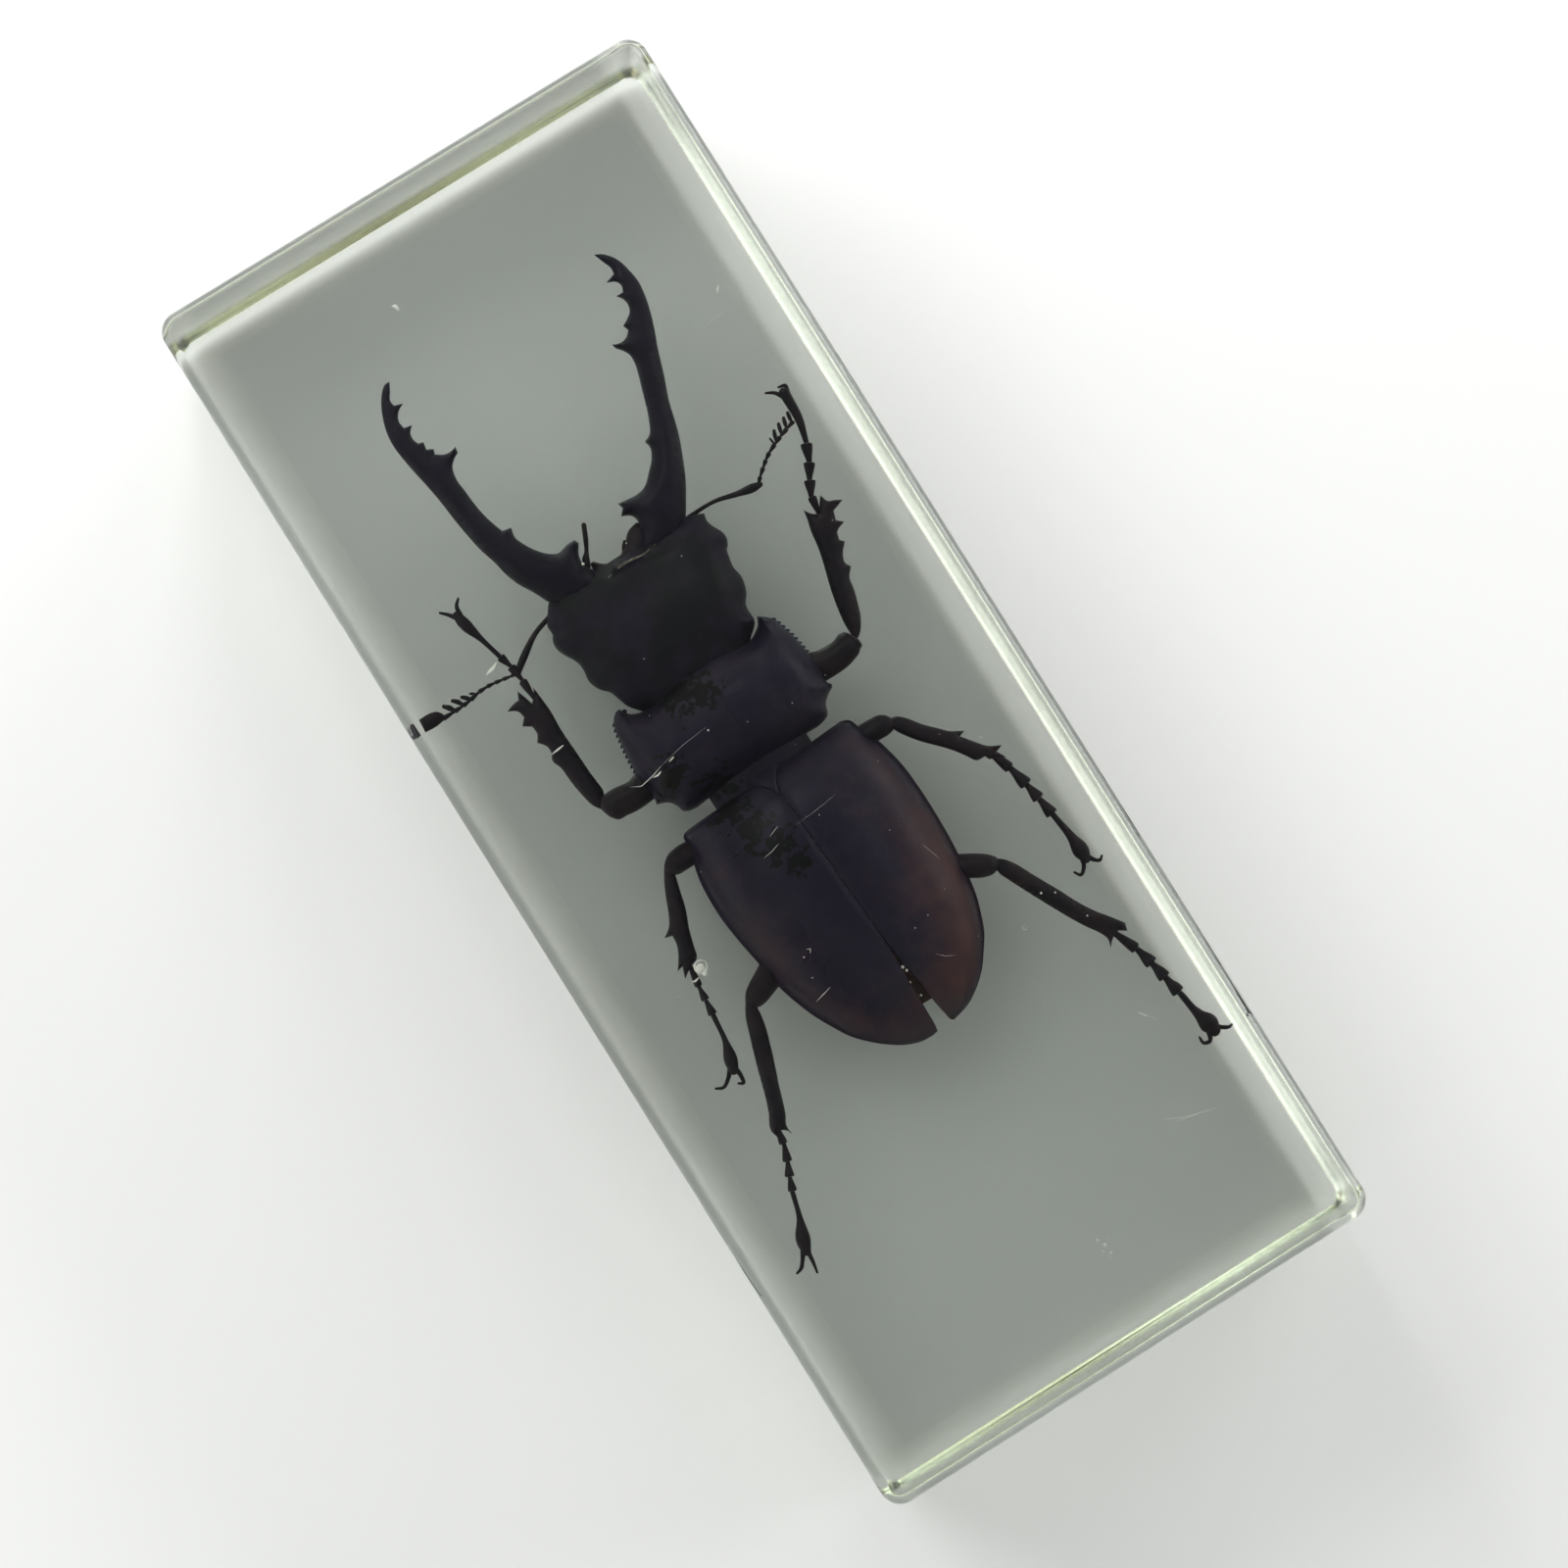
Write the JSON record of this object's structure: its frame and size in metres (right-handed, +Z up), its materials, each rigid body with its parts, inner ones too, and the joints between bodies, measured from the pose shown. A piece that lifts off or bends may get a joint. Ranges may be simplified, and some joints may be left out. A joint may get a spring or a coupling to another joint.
{
  "type": "stag beetle in resin block",
  "caption": "Long flat block of clear cast resin with rounded edges, and a black stag beetle sealed in its middle with jaws, feelers and legs spread.",
  "frame": {"origin": "middle of the block's flat base, under the beetle", "axes": "+Y along the block towards the beetle's jaws, +Z up through the beetle's back, +X towards the beetle's right side"},
  "size_m": [0.0448, 0.11, 0.02],
  "materials": {
    "resin": "clear cast resin, polished, with hairline scratches",
    "chitin": "satin black beetle shell with fine pits, dark red-brown towards the tail and underneath"
  },
  "bodies": {
    "root": {"resin_lower_half": "resin", "resin_upper_half": "resin", "stag_beetle": "chitin"}
  },
  "joints": []
}
